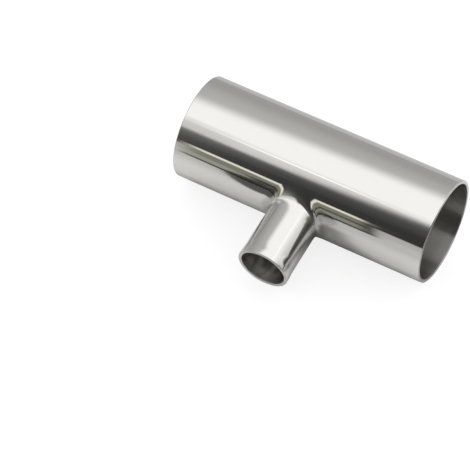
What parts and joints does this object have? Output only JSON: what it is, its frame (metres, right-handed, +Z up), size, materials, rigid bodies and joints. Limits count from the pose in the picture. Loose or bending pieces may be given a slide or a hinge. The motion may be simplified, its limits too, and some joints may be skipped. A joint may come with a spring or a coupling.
{
  "type": "reducing tee",
  "caption": "Butt-weld reducing tee in thin polished stainless tube: a straight run with a narrower branch drawn out of its side.",
  "frame": {"origin": "where the axes of the run and the branch cross, at the middle of the run", "axes": "+X along the run's axis, +Z up from the ground that the tee lies on; the branch leaves towards -Y and droops until its lip meets that ground"},
  "size_m": [0.1286, 0.0818, 0.0508],
  "materials": {
    "polished_stainless": "bright polished, with faint polishing lines round the tube"
  },
  "bodies": {
    "root": {"reducing_tee": "polished_stainless"}
  },
  "joints": []
}
